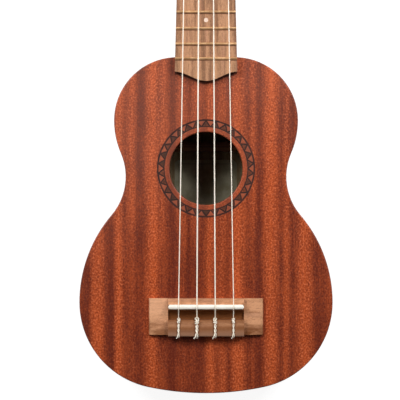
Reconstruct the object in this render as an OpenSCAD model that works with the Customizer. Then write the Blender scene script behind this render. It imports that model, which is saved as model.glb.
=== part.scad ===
// Soprano ukulele, lying on its back.
// +X is the first-string side, +Y runs along the neck to the headstock, +Z leaves the soundboard.
// The origin is on the back's outer face, on the centre line, half way along the body.
// All sizes are in millimetres. Places along the body are measured from its tail, and places
// along the headstock from the back edge of the nut.

/* [Body] */
// Length of the body, from its tail to the neck joint
body_length = 238; // [225:1:250]
// Depth of the body, plates included
body_depth = 62; // [54:1:72]
// Widest place of the lower bout
lower_bout = 179; // [170:1:190]
// Narrowest place of the waist
waist = 113.6; // [106:0.2:120]
// Widest place of the upper bout
upper_bout = 130; // [124:1:138]
// Length of the pattern on which places along the body are measured
pattern_length = 238; // [230:1:250]
// Place of the lower bout's widest line on the pattern
lower_bout_at = 64.2; // [58:0.2:70]
// Place of the waist on the pattern
waist_at = 153; // [148:1:158]
// Place of the upper bout's widest line on the pattern
upper_bout_at = 192.8; // [188:0.2:197]
// Radius of the tail's shallow arc
tail_r = 196; // [175:1:230]
// Radius of the waist's hollow arc
waist_r = 41.8; // [32:0.2:46]
// Radius of the shallow arc where the neck joins
shoulder_r = 431; // [320:1:600]

/* [Plates and ribs] */
// Thickness of the soundboard
top_t = 2; // [1.6:0.1:2.8]
// Thickness of the back
back_t = 2.2; // [1.6:0.1:2.8]
// Thickness of the bent sides
side_t = 1.9; // [1.4:0.1:2.6]
// Width of the kerfed linings, measured from the sides
lining_w = 5; // [4:0.5:7]
// Height of the kerfed linings
lining_h = 9; // [6:0.5:12]
// Distance from one lining kerf to the next
kerf_pitch = 7; // [5:0.5:10]
// Width of one kerf
kerf_w = 1; // [0.6:0.1:1.6]
// Wood left behind each kerf
kerf_web = 1.2; // [0.8:0.1:2]

/* [Soundhole] */
// Diameter of the soundhole
soundhole_d = 51.6; // [44:0.2:56]
// Place of the soundhole's centre on the pattern
soundhole_at = 158.8; // [155:0.2:163]

/* [Bracing] */
// Width of every brace across its grain
brace_w = 7; // [5:0.5:10]
// Height of the two cross braces under the soundboard
top_brace_h = 9; // [7:0.5:12]
// Height of the three fan braces
fan_brace_h = 6; // [4:0.5:8]
// Height of the braces across the back
back_brace_h = 9.5; // [7:0.5:12]
// Height of a cross brace at its thin ends
brace_end_h = 3; // [2:0.5:5]
// Length over which a brace thins towards each end
brace_taper = 16; // [8:1:24]
// Gap left between the braces and what they stop at
brace_gap = 0.4; // [0.3:0.1:1]
// Distance from the soundhole's edge to the brace on each side of it
soundhole_to_brace = 5; // [3:0.5:8]
// Place of the tail-most brace across the back on the pattern
lower_back_brace_at = 46; // [38:1:56]
// Place of the middle brace across the back on the pattern
middle_back_brace_at = 105; // [90:1:110]
// Place of the brace across the back under the soundhole on the pattern
upper_back_brace_at = 175.5; // [174:0.5:190]
// Turn of each outer fan brace away from the centre line, in degrees
fan_angle = 9; // [4:0.5:12]
// Distance between the fan braces at the tail end
fan_spread = 30; // [24:1:38]
// Distance from the tail to the fan braces
fan_from_tail = 24; // [18:1:30]
// Width of the patch under the bridge
patch_w = 96; // [84:1:110]
// Length of the patch under the bridge
patch_l = 34; // [30:1:40]
// Thickness of the patch under the bridge
patch_t = 1.6; // [1:0.1:2.4]

/* [Blocks and joint] */
// Width of the neck block
neck_block_w = 48; // [46:1:60]
// Length of the neck block from the body's end
neck_block_l = 18; // [14:1:22]
// Width of the tail block
tail_block_w = 42; // [30:1:60]
// Length of the tail block from the body's end
tail_block_l = 12; // [9:1:16]
// Diameter of the two dowels that hold the neck
dowel_d = 8; // [6:0.5:10]
// Depth of each dowel in the heel
dowel_in_heel = 7; // [5:0.5:8]
// Height of the lower dowel above the back's outer face
lower_dowel_at = 22; // [18:1:27]
// Height of the upper dowel above the back's outer face
upper_dowel_at = 43; // [38:1:46]

/* [Neck] */
// Vibrating length of the strings, before compensation
scale_length = 346; // [338:1:354]
// How far the twelfth fret lies inside the body's edge
joint_inset = 2; // [0:0.1:3]
// Width of the neck and fretboard at the nut
nut_width = 35; // [33:0.5:37]
// Width of the neck and fretboard at the twelfth fret
joint_width = 43.6; // [41:0.2:45]
// Depth of the neck's wood at the nut
neck_depth = 13; // [11:0.5:16]
// How much deeper the neck is where the heel begins
neck_swell = 2; // [0:0.5:4]
// Thickness of the heel's foot, out from the body
heel_foot = 10; // [9:0.5:14]
// Length of the hollow curve from the heel's foot to the neck
heel_curve = 27; // [18:1:36]
// Height of the heel's foot above the back's outer face
heel_rise = 9; // [5:0.5:13]

/* [Fretboard] */
// Thickness of the fretboard
fretboard_t = 5.5; // [4.6:0.1:6.4]
// Straight edge of the fretboard past the twelfth fret
fretboard_past = 9.4; // [6:0.2:14]
// Length of the bell curve that ends the fretboard
fretboard_bell = 6.5; // [3:0.5:9]
// Width of a fret's crown
fret_w = 1.9; // [1.4:0.1:2.4]
// Height of a fret's crown
fret_h = 0.9; // [0.7:0.1:0.9]
// Thickness of a fret's tang
tang_t = 0.5; // [0.4:0.1:0.7]
// Depth of a fret's tang in the fretboard
tang_h = 1.6; // [1:0.1:2.2]
// Diameter of the position dots
dot_d = 3; // [2:0.1:4]
// Diameter of the dots on the fretboard's edge
side_dot_d = 1.6; // [1:0.1:2]
// Depth of all dots
dot_depth = 1; // [0.6:0.1:1.5]
// Length of the nut along the strings
nut_t = 4; // [3:0.5:6]
// Height of the nut above the strings' lowest line
nut_wall = 0.6; // [0.4:0.1:1]

/* [Headstock] */
// Backward tilt of the headstock, in degrees
head_tilt = 12; // [8:0.5:15]
// Length of the headstock's straight edges
head_length = 104; // [100:1:116]
// How far the end of the headstock bows out
head_bow = 5; // [2:0.5:8]
// Width of the headstock where it meets the neck
head_root_width = 36; // [34:0.5:40]
// Width of the headstock at its shoulders
head_shoulder_width = 53; // [51:0.5:56]
// Width of the headstock at its end
head_width = 56; // [54:0.5:60]
// Thickness of the headstock
head_t = 12; // [10:0.5:14]
// Radius of the headstock's two end corners
head_corner = 8; // [4:0.5:12]
// Place of the lower pair of posts
lower_post_at = 38; // [36:1:41]
// Place of the upper pair of posts
upper_post_at = 76; // [74:1:80]
// Distance of each post from the centre line
post_x = 17; // [16:0.5:18]

/* [Bridge] */
// Width of the whole bridge
bridge_w = 80.6; // [76:0.2:86]
// Width of the bridge's raised middle
bridge_mid_w = 53.4; // [50:0.2:60]
// Wood in front of the saddle's centre line
bridge_front = 5.6; // [5:0.1:8]
// Distance from the saddle's centre line to the tie block
tie_block_at = 9.3; // [7.5:0.1:10.5]
// Length of the tie block
tie_block_l = 11.7; // [10.5:0.1:14]
// Height of the bridge beside the saddle
bridge_h = 7.6; // [6.8:0.1:8.4]
// Height of the tie block
tie_block_h = 8; // [7.2:0.1:8.8]
// Height of the channel's floor in front of the tie block
channel_h = 2.4; // [2:0.1:2.8]
// Height of the string holes' centres
string_hole_h = 4.6; // [4.2:0.1:5]
// Radius of each string hole through the tie block
string_hole_r = 0.8; // [0.7:0.05:1]
// Height of the wings where they leave the middle
wing_h = 4.6; // [3.8:0.1:5.4]
// Height of the wings at their tips
wing_tip_h = 3.2; // [2.4:0.1:3.6]
// How much shorter the wings are than the middle at the back
wing_step = 1; // [0.4:0.1:1.6]
// Bevel along the bridge's upper edges
bridge_bevel = 1; // [0.6:0.1:1.4]
// Thickness of the saddle
saddle_t = 3; // [2.4:0.1:3.4]
// Depth of the saddle's slot
saddle_slot = 3.4; // [2.5:0.1:4]
// How far the saddle lies behind the scale's end
compensation = 1.4; // [0:0.1:3]

/* [Strings] */
// Diameter of the fourth string
g_string_d = 0.72; // [0.6:0.02:0.8]
// Diameter of the third string
c_string_d = 1; // [0.86:0.02:1.04]
// Diameter of the second string
e_string_d = 0.86; // [0.76:0.02:0.94]
// Diameter of the first string
a_string_d = 0.68; // [0.56:0.02:0.76]
// Distance from the fourth to the first string at the saddle
saddle_spread = 38.5; // [36:0.5:41]
// Distance from the fourth to the first string at the nut
nut_spread = 27; // [25:0.5:28.5]
// Height of the strings above the frets' crowns at the nut
nut_action = 0.5; // [0.3:0.1:0.8]
// Height of the strings above the twelfth fret's crown
octave_action = 2.5; // [2:0.1:3]
// Turns of a string on its post
string_turns = 2.5; // [1.5:1:2.5]

/* [Tuners] */
// Distance from one turn of the worm's thread to the next
worm_pitch = 2; // [1.9:0.02:2.1]
// Pitch radius of the worm
worm_pitch_r = 2.05; // [2:0.05:2.2]
// Length of the worm between its bearings
worm_l = 9.4; // [8.4:0.2:10.4]
// Height of thread and teeth above their pitch line
tooth_top = 0.5; // [0.4:0.05:0.55]
// Play at each root and on each side of a tooth
tooth_play = 0.2; // [0.18:0.01:0.24]
// Thickness of each gear
gear_t = 2.4; // [2:0.1:2.8]
// Radius of each worm shaft in its bearings
shaft_r = 1.2; // [1:0.05:1.25]
// Radius of each string post
post_r = 3; // [2.7:0.1:3.2]
// Height of each post above the headstock
post_h = 11; // [10:0.5:12]
// Height of the string hole above the headstock
post_hole_h = 8.4; // [8:0.1:8.8]
// Radius of the spigot that carries the gear
spigot_r = 1.75; // [1.5:0.05:2]
// Radial clearance of every running fit
run_gap = 0.05; // [0.03:0.01:0.08]
// Thickness of each tuner's base plate and ears
plate_t = 1; // [0.8:0.1:1.2]
// Gap between the worm and the base plate
worm_gap = 0.45; // [0.3:0.05:0.8]
// Radius of each ear round its bearing
ear_r = 3; // [2.6:0.1:3.2]
// Width of each button, across its shaft
button_w = 15; // [12:0.5:16]
// Length of each button, along its shaft
button_l = 11; // [10:0.5:13]
// Thickness of each button
button_t = 5.6; // [5:0.2:6.4]
// Gap between the headstock's edge and the buttons
button_gap = 2; // [1.4:0.2:4]
// Outer radius of each bushing in the wood
bushing_r = 4.4; // [4.2:0.1:4.8]
// Length of each bushing in the wood
bushing_l = 6; // [4:0.5:8]

/* [Hidden] */
$fn = 48;
COURSES = ["g", "c", "e", "a"];
TUNER_PARTS = ["tuner_plate", "worm_shaft", "button", "gear", "gear_screw", "post", "winding"];

mahogany = [0.62, 0.27, 0.15];
spruce = [0.80, 0.66, 0.45];
walnut = [0.66, 0.47, 0.33];
bone = [0.95, 0.93, 0.86];
nylon = [0.93, 0.92, 0.88];
nickel = [0.80, 0.80, 0.82];
brass = [0.80, 0.64, 0.30];

cut = 1;              // how far a cutting shape runs past the surface that it cuts
outline_step = 4;     // length of one straight piece of the body's outline
touch = 0.03;         // air between a string and what it lies on
wrap_gap = 0.15;      // air between a still turn of string and what turns inside or above it
string_sides = 8;

// ---------------------------------------------------------------- points and skins

function unit(v) = v / norm(v);
function angle_of(v) = atan2(v.y, v.x);
function reversed(list) = [for (i = [len(list) - 1 : -1 : 0]) list[i]];
function mirrored(points) = [for (p = reversed(points)) [-p.x, p.y]];
function mix(a, b, f) = a + (b - a) * f;
function clamp01(f) = max(0, min(1, f));
// Eases from 0 to 1 with level ends
function ease(f) = (1 - cos(180 * clamp01(f))) / 2;
// Points of a curve that leaves a towards b and arrives at c from b, without c itself
function bend(a, b, c, n = 6) = [
    for (i = [0 : n - 1]) let (f = i / n) mix(mix(a, b, f), mix(b, c, f), f)
];

// A closed solid through rings of points, each counter-clockwise seen from the next ring's side
module skin(rings) {
    n = len(rings[0]);
    last = len(rings) - 1;
    polyhedron(
        points = [for (ring = rings) each ring],
        faces = concat(
            [[for (j = [0 : n - 1]) j]],
            [for (i = [0 : last - 1]) for (j = [0 : n - 1])
                let (a = i * n + j, b = i * n + (j + 1) % n)
                each [[a, a + n, b + n], [a, b + n, b]]],
            [[for (j = [n - 1 : -1 : 0]) last * n + j]]
        )
    );
}

function direction_at(route, i) =
    let (here = route[i],
         ahead = i < len(route) - 1 ? unit(route[i + 1] - here) : [0, 0, 0],
         behind = i > 0 ? unit(here - route[i - 1]) : [0, 0, 0])
    unit(ahead + behind);
function square_to(side, direction) = unit(side - direction * (side * direction));
// A round tube along a route, carrying one side direction along so that it does not twist
module tube(route, d) {
    directions = [for (i = [0 : len(route) - 1]) direction_at(route, i)];
    first = abs(directions[0].z) < 0.9 ? [0, 0, 1] : [1, 0, 0];
    sides = [for (i = 0, s = square_to(first, directions[0]); i < len(route);
                  i = i + 1, s = i < len(route) ? square_to(s, directions[i]) : s) s];
    skin([for (i = [0 : len(route) - 1])
        [for (j = [0 : string_sides - 1]) let (a = j * 360 / string_sides)
            route[i] + (cos(a) * sides[i] + sin(a) * cross(directions[i], sides[i])) * d / 2]]);
}

// ---------------------------------------------------------------- body outline

// y of a place measured from the tail
function along(from_tail) = from_tail - body_length / 2;

stretch = body_length / pattern_length;
lower_bout_line = lower_bout_at * stretch;
waist_line = waist_at * stretch;
upper_bout_line = upper_bout_at * stretch;

half_lower = lower_bout / 2;
half_waist = waist / 2;
half_upper = upper_bout / 2;

// Radius of the corner that blends an end arc of radius r into a bout at distance d from that end
function corner_r(r, half, d) = (2 * r * d - half * half - d * d) / (2 * (r - half));
// Sum of the two radii that lead from a bout into the waist without a straight
function blend_r(step_in, d) = (step_in * step_in + d * d) / (2 * step_in);

tail_corner_r = corner_r(tail_r, half_lower, lower_bout_line);
shoulder_corner_r = corner_r(shoulder_r, half_upper, body_length - upper_bout_line);
lower_flank_r = blend_r(half_lower - half_waist, waist_line - lower_bout_line) - waist_r;
upper_flank_r = blend_r(half_upper - half_waist, upper_bout_line - waist_line) - waist_r;

tail_c = [0, along(tail_r)];
tail_corner_c = [half_lower - tail_corner_r, along(lower_bout_line)];
lower_flank_c = [half_lower - lower_flank_r, along(lower_bout_line)];
waist_c = [half_waist + waist_r, along(waist_line)];
upper_flank_c = [half_upper - upper_flank_r, along(upper_bout_line)];
shoulder_corner_c = [half_upper - shoulder_corner_r, along(upper_bout_line)];
shoulder_c = [0, along(body_length - shoulder_r)];

tail_turn = angle_of(tail_corner_c - tail_c);
lower_turn = angle_of(waist_c - lower_flank_c);
upper_turn = angle_of(waist_c - upper_flank_c);
shoulder_turn = angle_of(shoulder_corner_c - shoulder_c);

// The right half of the outline, arc by arc:
// centre, radius, first angle, last angle, and 1 for a bulge or -1 for a hollow
half_outline = [
    [tail_c, tail_r, -90, tail_turn, 1],
    [tail_corner_c, tail_corner_r, tail_turn, 0, 1],
    [lower_flank_c, lower_flank_r, 0, lower_turn, 1],
    [waist_c, waist_r, lower_turn + 180, upper_turn + 180, -1],
    [upper_flank_c, upper_flank_r, upper_turn, 0, 1],
    [shoulder_corner_c, shoulder_corner_r, 0, shoulder_turn, 1],
    [shoulder_c, shoulder_r, shoulder_turn, 90, 1],
];

function arc_pieces(arc, step) = max(1, round(abs(arc[3] - arc[2]) * PI / 180 * arc[1] / step));
// The point at share f of an arc, moved into the body by inset
function arc_point(arc, f, inset) =
    let (a = mix(arc[2], arc[3], f)) arc[0] + (arc[1] - arc[4] * inset) * [cos(a), sin(a)];
// The right half of the outline from tail to neck, moved into the body by inset
function half_points(inset) = [
    for (arc = half_outline)
        let (n = arc_pieces(arc, outline_step))
        for (i = [0 : n - 1]) arc_point(arc, i / n, inset),
    arc_point(half_outline[len(half_outline) - 1], 1, inset)
];
// Half the width inside the outline at y, moved in by inset
function half_width(y, inset) = lookup(y, [for (p = half_points(inset)) [p.y, p.x]]);
// The inner edge of a kerfed lining: a land, then a kerf down to its web
lining_edge = [
    for (arc = half_outline)
        let (n = arc_pieces(arc, kerf_pitch), land = 1 - kerf_w / kerf_pitch)
        for (i = [0 : n - 1], corner = [[0, lining_w], [land, lining_w], [land, kerf_web], [1, kerf_web]])
            arc_point(arc, (i + corner.x) / n, side_t + corner.y)
];

// Everything inside the outline, between two heights
module body_prism(inset, low, high) {
    half = half_points(inset);
    translate([0, 0, low]) linear_extrude(high - low) polygon(concat(half, mirrored(half)));
}

// The band between the outer edge and the inner edge of one half, on the right (1) or left (-1)
module half_band(outer, inner, hand, h) {
    band = concat(outer, reversed(inner));
    linear_extrude(h) polygon(hand > 0 ? band : mirrored(band));
}

// ---------------------------------------------------------------- body

inner_top = body_depth - top_t;
soundhole_y = along(soundhole_at * stretch);
tail_y = along(0);
joint_y = along(body_length);

module soundboard() {
    color(mahogany) difference() {
        body_prism(0, inner_top, body_depth);
        translate([0, soundhole_y, inner_top - cut])
            cylinder(d = soundhole_d, h = top_t + 2 * cut, $fn = 96);
    }
}

module back() {
    color(mahogany) body_prism(0, 0, back_t);
}

// The two bent sides meet on the centre line, where the neck's dowels pass through them
module side(hand) {
    color(mahogany) difference() {
        translate([0, 0, back_t])
            half_band(half_points(0), half_points(side_t), hand, inner_top - back_t);
        dowel_holes();
    }
}

module neck_block_room() {
    translate([-neck_block_w / 2, joint_y - neck_block_l, 0])
        cube([neck_block_w, neck_block_l, body_depth]);
}

module tail_block_room() {
    translate([-tail_block_w / 2, tail_y, 0]) cube([tail_block_w, tail_block_l, body_depth]);
}

module linings(low) {
    color(spruce) difference() {
        for (hand = [1, -1])
            translate([0, 0, low]) half_band(half_points(side_t), lining_edge, hand, lining_h);
        neck_block_room();
        tail_block_room();
    }
}

module neck_block() {
    color(spruce) difference() {
        intersection() {
            body_prism(side_t, back_t, inner_top);
            neck_block_room();
        }
        dowel_holes();
    }
}

module tail_block() {
    color(spruce) intersection() {
        body_prism(side_t, back_t, inner_top);
        tail_block_room();
    }
}

module dowel(z) {
    translate([0, joint_y - neck_block_l, z]) rotate([-90, 0, 0])
        cylinder(d = dowel_d, h = neck_block_l + dowel_in_heel);
}

module dowel_holes() {
    for (z = [lower_dowel_at, upper_dowel_at]) dowel(z);
}

module heel_dowels() {
    color(spruce) dowel_holes();
}

// ---------------------------------------------------------------- bracing

lining_inset = side_t + lining_w + brace_gap;
lower_brace_y = soundhole_y - soundhole_d / 2 - soundhole_to_brace - brace_w / 2;
upper_brace_y = soundhole_y + soundhole_d / 2 + soundhole_to_brace + brace_w / 2;

// The side view of a brace: its glued edge on y = 0, its thin ends at both ends of the length
module brace_profile(length, h, end_h) {
    half = length / 2;
    polygon([[-half, 0], [-half, end_h], [-half + brace_taper, h],
             [half - brace_taper, h], [half, end_h], [half, 0]]);
}

// A brace right across the body, its glued edge at height z, growing up (1) or down (-1)
module cross_brace(y, z, h, grow) {
    reach = max(half_width(y - brace_w / 2, lining_inset), half_width(y + brace_w / 2, lining_inset));
    intersection() {
        body_prism(lining_inset, 0, body_depth);
        translate([0, y + brace_w / 2, z]) mirror([0, 0, grow > 0 ? 0 : 1]) rotate([90, 0, 0])
            linear_extrude(brace_w) brace_profile(2 * reach, h, brace_end_h);
    }
}

module upper_top_brace() {
    color(spruce) cross_brace(upper_brace_y, inner_top, top_brace_h, -1);
}

module lower_top_brace() {
    color(spruce) cross_brace(lower_brace_y, inner_top, top_brace_h, -1);
}

module back_braces() {
    color(spruce)
        for (place = [lower_back_brace_at, middle_back_brace_at, upper_back_brace_at])
            cross_brace(along(place * stretch), back_t, back_brace_h, 1);
}

fan_low_y = along(fan_from_tail);
fan_length = lower_brace_y - brace_w / 2 - brace_gap - fan_low_y;
fan_brace_w = brace_w - 1;
fan_end_h = brace_end_h / 2;

// Three braces along the lower bout, notched over the patch under the bridge
module fan_braces() {
    color(spruce) difference() {
        for (i = [-1, 0, 1])
            translate([i * fan_spread, fan_low_y, inner_top]) rotate([0, 0, i * fan_angle])
                translate([-fan_brace_w / 2, fan_length / 2, 0]) mirror([0, 0, 1])
                    rotate([90, 0, 90]) linear_extrude(fan_brace_w)
                        brace_profile(fan_length - abs(i) * brace_w * sin(fan_angle), fan_brace_h, fan_end_h);
        bridge_patch();
    }
}

module bridge_patch() {
    color(spruce) translate([-patch_w / 2, bridge_centre_y - patch_l / 2, inner_top - patch_t])
        cube([patch_w, patch_l, patch_t]);
}

label_w = 46;
label_l = 52;
label_corner = 4;
label_t = 0.2;

// The paper label, centred between the two upper back braces
module label() {
    y = along((middle_back_brace_at + upper_back_brace_at) / 2 * stretch);
    color("ivory") translate([0, y, back_t]) {
        for (size = [[label_w, label_l - 2 * label_corner], [label_w - 2 * label_corner, label_l]])
            translate([-size.x / 2, -size.y / 2, 0]) cube([size.x, size.y, label_t]);
        for (x = [-1, 1], y = [-1, 1])
            translate([x * (label_w / 2 - label_corner), y * (label_l / 2 - label_corner), 0])
                cylinder(r = label_corner, h = label_t);
    }
}

// ---------------------------------------------------------------- strings' line

octave_y = joint_y - joint_inset;
nut_y = octave_y + scale_length / 2;
nut_back_y = nut_y + nut_t;
saddle_y = nut_y - scale_length - compensation;

board_top = body_depth + fretboard_t;
nut_line = board_top + fret_h + nut_action;
octave_line = board_top + fret_h + octave_action;
// Height of the strings' underside, y measured from the nut along the strings
function string_line(y) = nut_line + (octave_line - nut_line) * (nut_y - y) / (scale_length / 2);
saddle_top = string_line(saddle_y);

string_ds = [g_string_d, c_string_d, e_string_d, a_string_d];
function nut_x(i) = nut_spread * (i / 3 - 0.5);
function saddle_x(i) = saddle_spread * (i / 3 - 0.5);

// ---------------------------------------------------------------- bridge

tie_back = tie_block_at + tie_block_l;
bridge_centre_y = saddle_y + (bridge_front - tie_back) / 2;
saddle_wall = 0.8;        // wood behind the saddle
saddle_w = bridge_mid_w - 0.5;
saddle_crown = 0.5;       // how much lower the saddle's edges are than its crown

// The middle's side view: y from the saddle's centre line, z from the soundboard
bridge_outline = [
    [bridge_front, 0],
    each bend([bridge_front, bridge_h - 2 * bridge_bevel], [bridge_front, bridge_h],
              [bridge_front - 2 * bridge_bevel, bridge_h]),
    [saddle_t / 2, bridge_h],
    [saddle_t / 2, bridge_h - saddle_slot],
    [-saddle_t / 2, bridge_h - saddle_slot],
    [-saddle_t / 2, bridge_h],
    each bend([-saddle_t / 2 - saddle_wall, bridge_h], [-saddle_t / 2 - 1.5 * saddle_wall, channel_h],
              [-tie_block_at + 1, channel_h]),
    [-tie_block_at, channel_h],
    each bend([-tie_block_at, tie_block_h - bridge_bevel], [-tie_block_at, tie_block_h],
              [-tie_block_at - bridge_bevel, tie_block_h]),
    each bend([-tie_back + bridge_bevel, tie_block_h], [-tie_back, tie_block_h],
              [-tie_back, tie_block_h - bridge_bevel]),
    [-tie_back, 0],
];

wing_l = bridge_front + tie_back - wing_step;
wing_in = bridge_mid_w / 2 - 0.1;
wing_out = bridge_w / 2;
// A wing's front view: x from the centre line, z from the soundboard
wing_outline = [
    [wing_in, 0],
    [wing_in, wing_h],
    each bend([wing_out - 2 * bridge_bevel, wing_tip_h], [wing_out, wing_tip_h],
              [wing_out, wing_tip_h - 2 * bridge_bevel]),
    [wing_out, 0],
];

module bridge() {
    color(walnut) difference() {
        union() {
            translate([-bridge_mid_w / 2, saddle_y, body_depth]) rotate([90, 0, 90])
                linear_extrude(bridge_mid_w) polygon(bridge_outline);
            for (hand = [0, 1])
                mirror([hand, 0, 0]) translate([0, saddle_y + bridge_front, body_depth])
                    rotate([90, 0, 0]) linear_extrude(wing_l) polygon(wing_outline);
        }
        for (i = [0 : 3])
            translate([saddle_x(i), saddle_y - tie_back - cut, body_depth + string_hole_h])
                rotate([-90, 0, 0]) cylinder(r = string_hole_r, h = tie_block_l + 2 * cut);
    }
}

// Drop of the saddle's top at y from its centre line
function saddle_drop(y) = saddle_crown * pow(y / (saddle_t / 2), 2);

module saddle() {
    half = saddle_t / 2;
    height = saddle_top - body_depth;
    end_r = half + 0.1;    // its ends are rounded when looked at from above
    reach = saddle_w / 2 - end_r;
    color(bone) translate([0, saddle_y, body_depth]) intersection() {
        translate([-saddle_w / 2 - cut, 0, 0]) rotate([90, 0, 90])
            linear_extrude(saddle_w + 2 * cut) polygon([
                [-half, bridge_h - saddle_slot],
                [half, bridge_h - saddle_slot],
                for (i = [4 : -1 : -4]) [half * i / 4, height - saddle_drop(half * i / 4)],
            ]);
        linear_extrude(height + cut) polygon([
            for (hand = [1, -1], a = [-75 : 15 : 75])
                hand * [reach + end_r * cos(a), end_r * sin(a)],
        ]);
    }
}

// ---------------------------------------------------------------- neck

// Width of neck and fretboard at y
function board_w(y) = mix(nut_width, joint_width, (nut_y - y) / (nut_y - octave_y));

heel_tip = 4;              // how far the heel's round section would run below its flat foot
heel_y = joint_y + heel_foot;
heel_depth = body_depth - heel_rise + heel_tip;
neck_end_l = 26;           // length over which the neck's round back turns into the headstock
neck_end_y = nut_back_y - neck_end_l;
plain_depth = neck_depth + neck_swell;

// Share of the heel that is left at y: 1 at its foot, 0 where the plain neck begins
function heel_share(y) =
    let (f = clamp01((y - heel_y) / heel_curve)) 1 - sqrt(1 - (1 - f) * (1 - f));
plain_y = heel_y + heel_curve;
function neck_depth_at(y) = y < plain_y
    ? mix(plain_depth, heel_depth, heel_share(y))
    : mix(plain_depth, neck_depth, (y - plain_y) / (nut_y - plain_y));

function signed_pow(v, e) = sign(v) * pow(abs(v), e);
// A section of the neck: flat on top, a rounded back whose corners square up as fullness grows
function neck_ring(y, w, depth, fullness, tilt) = [
    for (i = [0 : 20])
        let (a = 180 * i / 20,
             x = w / 2 * signed_pow(cos(a), 2 / fullness),
             n = -depth * pow(sin(a), 2 / fullness))
        [x, y + n * sin(tilt), body_depth + n * cos(tilt)]
];

heel_steps = 10;
heel_fullness = 1.8;
neck_fullness = 2.2;
neck_rings = [
    neck_ring(joint_y - 2 * cut, board_w(joint_y), heel_depth, heel_fullness, 0),
    for (i = [0 : heel_steps])
        let (y = heel_y + heel_curve * (1 - cos(90 * i / heel_steps)))
        neck_ring(y, board_w(y), neck_depth_at(y), mix(heel_fullness, neck_fullness, i / heel_steps), 0),
    for (i = [0 : 8])
        let (f = ease(i / 8),
             y = mix(neck_end_y, nut_back_y, i / 8),
             w = mix(board_w(neck_end_y), head_root_width, f),
             depth = mix(neck_depth_at(neck_end_y), head_t, f))
        neck_ring(y, w, depth, mix(neck_fullness, 12, f * f), head_tilt * f),
];

module neck() {
    color(mahogany) difference() {
        skin(neck_rings);
        body_prism(0, 0, body_depth + cut);
        translate([-joint_width, joint_y - 3 * cut, heel_rise - 2 * heel_tip])
            cube([2 * joint_width, heel_foot + heel_curve, 2 * heel_tip]);
        dowel_holes();
    }
}

// ---------------------------------------------------------------- fretboard

fret_numbers = [1 : 12];
dot_frets = [5, 7, 10];
function fret_y(number) = nut_y - scale_length * (1 - pow(2, -number / 12));
function between_frets(number) = (fret_y(number) + fret_y(number - 1)) / 2;
board_end_y = octave_y - fretboard_past;
bell_steps = 12;

module fretboard() {
    half_end = board_w(board_end_y) / 2;
    bell = [for (i = [-bell_steps : bell_steps])
        [half_end * i / bell_steps, board_end_y - fretboard_bell * (1 - ease(abs(i) / bell_steps))]];
    color(walnut) difference() {
        translate([0, 0, body_depth]) linear_extrude(fretboard_t)
            polygon(concat(bell, [[nut_width / 2, nut_y], [-nut_width / 2, nut_y]]));
        for (number = fret_numbers)
            translate([-joint_width, fret_y(number) - tang_t / 2, board_top - tang_h])
                cube([2 * joint_width, tang_t, tang_h + cut]);
        position_dots();
        side_dots();
    }
}

module frets() {
    crown_r = (fret_w * fret_w / 4 + fret_h * fret_h) / (2 * fret_h);
    color("gold")
        for (number = fret_numbers) {
            y = fret_y(number);
            w = board_w(y);
            translate([-w / 2, y - tang_t / 2, board_top - tang_h]) cube([w, tang_t, tang_h + fret_h / 2]);
            intersection() {
                translate([-w / 2, y, board_top + fret_h - crown_r]) rotate([0, 90, 0])
                    cylinder(r = crown_r, h = w);
                translate([-w / 2, y - fret_w, board_top]) cube([w, 2 * fret_w, 2 * fret_h]);
            }
        }
}

module position_dots() {
    color(bone)
        for (number = dot_frets)
            translate([0, between_frets(number), board_top - dot_depth]) cylinder(d = dot_d, h = dot_depth);
}

// Dots on the edge that the player sees
module side_dots() {
    color(bone)
        for (number = dot_frets) {
            y = between_frets(number);
            intersection() {
                translate([-board_w(y) / 2 - dot_depth, y, body_depth + fretboard_t / 2]) rotate([0, 90, 0])
                    cylinder(d = side_dot_d, h = 2 * dot_depth, $fn = 24);
                translate([-board_w(y) / 2, y - side_dot_d, body_depth])
                    cube([dot_depth, 2 * side_dot_d, fretboard_t]);
            }
        }
}

slot_level = 1.2;          // length of a nut slot's level part, where the string bears
slot_fall = head_tilt + 3; // how steeply the slot falls behind it, in degrees
slot_play = 0.12;          // how much wider a nut slot is than its string
nut_edge = 0.5;            // bevel of the nut's front edge

module nut() {
    top = nut_line - body_depth + nut_wall;
    back_drop = nut_t * tan(slot_fall);
    past = nut_t + cut;
    color(bone) difference() {
        translate([-nut_width / 2, nut_y, body_depth]) rotate([90, 0, 90]) linear_extrude(nut_width)
            polygon([
                [0, 0], [nut_t, 0], [nut_t, top - back_drop],
                each bend([nut_t * 0.75, top - back_drop / 2], [nut_t / 2, top], [nut_edge, top]),
                [nut_edge, top], [0, top - nut_edge]
            ]);
        for (i = [0 : 3])
            translate([nut_x(i) - (string_ds[i] + slot_play) / 2, nut_y, nut_line]) rotate([90, 0, 90])
                linear_extrude(string_ds[i] + slot_play)
                    polygon([[-cut, 0], [slot_level, 0], [past, (slot_level - past) * tan(slot_fall)],
                             [past, nut_wall + cut], [-cut, nut_wall + cut]]);
    }
}

// ---------------------------------------------------------------- headstock

// From the headstock's frame (x, up along its face from the nut, out of its face) to the model's
function on_face(p) = [
    p.x,
    nut_back_y + p.y * cos(head_tilt) + p.z * sin(head_tilt),
    body_depth - p.y * sin(head_tilt) + p.z * cos(head_tilt)
];
module on_headstock() {
    translate([0, nut_back_y, body_depth]) rotate([-head_tilt, 0, 0]) children();
}

hands = [-1, -1, 1, 1];
post_places = [lower_post_at, upper_post_at, upper_post_at, lower_post_at];
// At the foot of post i on the headstock's face, with +X turned outwards
module at_post(i) {
    on_headstock() translate([hands[i] * post_x, post_places[i], 0])
        mirror([hands[i] < 0 ? 1 : 0, 0, 0]) children();
}

head_flare_from = 3;       // where the headstock starts to widen
head_flare_l = 16;         // and over what length
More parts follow.
